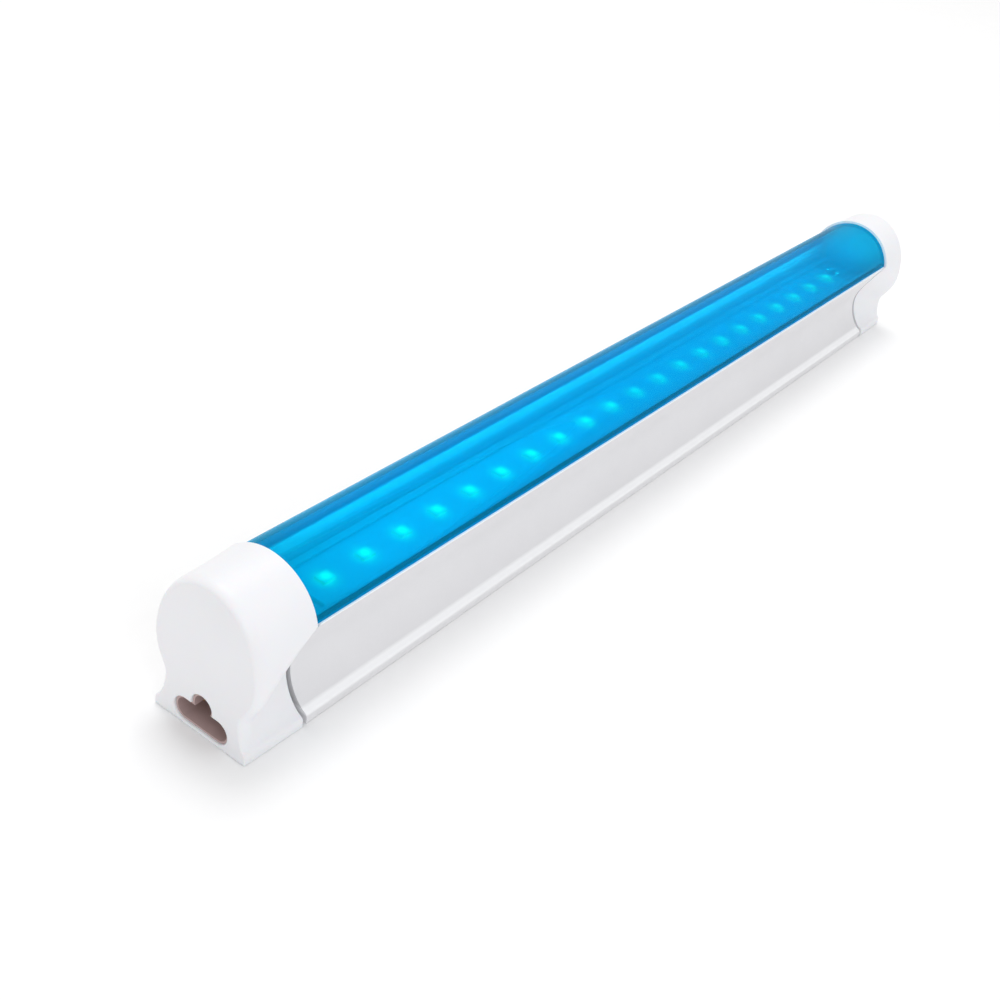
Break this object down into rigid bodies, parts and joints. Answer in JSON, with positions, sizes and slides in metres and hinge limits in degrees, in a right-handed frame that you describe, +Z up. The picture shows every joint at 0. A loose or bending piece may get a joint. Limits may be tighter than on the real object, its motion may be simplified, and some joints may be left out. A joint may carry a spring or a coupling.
{
  "type": "led light tube",
  "caption": "Slim linear LED light with a tinted snap-in cover on a waisted white metal housing, and moulded end caps with three-pole sockets.",
  "frame": {"origin": "middle of the base, on the surface that the foot rests on", "axes": "+X along the tube, +Y across it, +Z up towards the light side"},
  "size_m": [0.3048, 0.0276, 0.036],
  "materials": {
    "white_powder_coat": "satin powder coat",
    "blue_cover": "clear tinted polycarbonate, polished",
    "cap_plastic": "fine moulded satin",
    "socket_plastic": "moulded matte",
    "contact_metal": "tinned brass",
    "board_mask": "white solder mask",
    "led_body": "moulded white",
    "led_phosphor": "silicone fill, lit",
    "chip_ceramic": "chip part",
    "driver_laminate": "phenolic laminate",
    "film": "thin polyester film",
    "can_sleeve": "shrink sleeve over an aluminium can",
    "film_capacitor_case": "moulded yellow case",
    "black_epoxy": "moulded epoxy",
    "varistor_epoxy": "dipped blue epoxy",
    "fuse_body": "lacquered ceramic",
    "ferrite": "sintered",
    "copper_winding": "enamelled copper",
    "brown_insulation": "extruded",
    "blue_insulation": "extruded",
    "green_yellow_insulation": "extruded",
    "white_insulation": "extruded",
    "spring_strip": "phosphor bronze strip"
  },
  "bodies": {
    "root": {"housing": "white_powder_coat", "cover": "blue_cover", "end_cap_left": "cap_plastic", "end_cap_right": "cap_plastic", "socket_insert_left": "socket_plastic", "socket_insert_right": "socket_plastic", "contact_pins_left": "contact_metal", "contact_pins_right": "contact_metal", "led_board": "board_mask", "led_packages": "led_body", "led_windows": "led_phosphor", "driver_board": "driver_laminate", "insulation_film": "film", "bulk_capacitor": "can_sleeve", "output_capacitor": "can_sleeve", "film_capacitor": "film_capacitor_case", "bridge_rectifier": "black_epoxy", "driver_ic": "black_epoxy", "output_diode": "black_epoxy", "fuse_resistor": "fuse_body", "varistor": "varistor_epoxy", "choke_core": "ferrite", "choke_winding": "copper_winding", "chip_parts": "chip_ceramic", "line_wire": "brown_insulation", "neutral_wire": "blue_insulation", "earth_wire": "green_yellow_insulation", "input_wires": "white_insulation", "output_wires": "white_insulation", "earth_spring": "spring_strip"}
  },
  "joints": []
}
